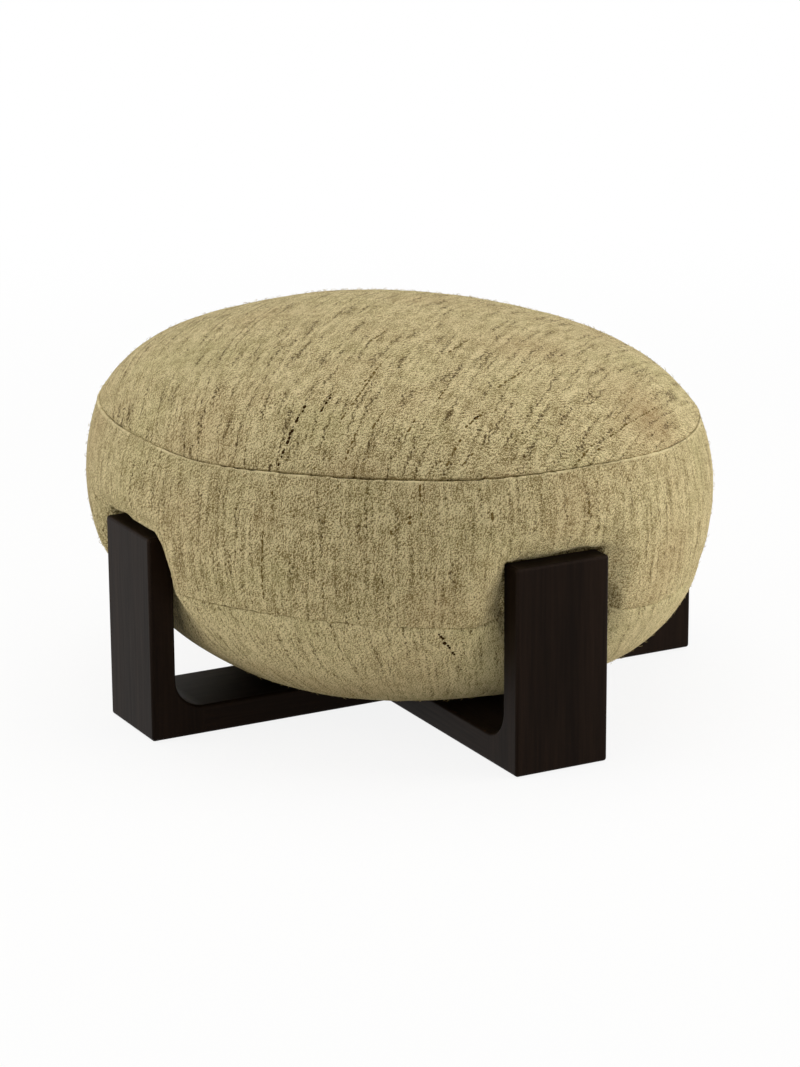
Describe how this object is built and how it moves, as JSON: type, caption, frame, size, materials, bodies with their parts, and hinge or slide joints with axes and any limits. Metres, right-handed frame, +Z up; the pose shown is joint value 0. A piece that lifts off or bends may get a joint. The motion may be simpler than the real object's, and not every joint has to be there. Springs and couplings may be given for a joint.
{
  "type": "pouf",
  "caption": "Round upholstered pouf with a woven cover, a domed top and a sewn side band, bolted into a dark wooden cross base with upright end posts.",
  "frame": {"origin": "on the floor, under the crossing of the two rails", "axes": "+Z up, +X along one rail towards the right post, -Y along the other rail towards the front post"},
  "size_m": [0.6278, 0.6278, 0.3957],
  "materials": {
    "stained_wood": "satin",
    "beech": "matte",
    "felt": "matte",
    "zinc_steel": "satin",
    "plywood": "matte",
    "foam": "matte",
    "wadding": "matte",
    "woven_cover": "matte",
    "black_cambric": "matte"
  },
  "bodies": {
    "root": {"post_left": "stained_wood", "post_right": "stained_wood", "post_front": "stained_wood", "post_back": "stained_wood", "rail_left_right": "stained_wood", "rail_front_back": "stained_wood", "dowels": "beech", "felt_pads": "felt", "lap_screws": "zinc_steel", "seat_bolts": "zinc_steel", "washers": "zinc_steel", "t_nuts": "zinc_steel", "cover_staples": "zinc_steel", "dust_cover_staples": "zinc_steel", "seat_board": "plywood", "foam_lower": "foam", "foam_middle": "foam", "foam_crown": "foam", "wadding_top": "wadding", "wadding_wrap": "wadding", "top_panel": "woven_cover", "side_band": "woven_cover", "bottom_panel": "woven_cover", "dust_cover": "black_cambric"}
  },
  "joints": []
}
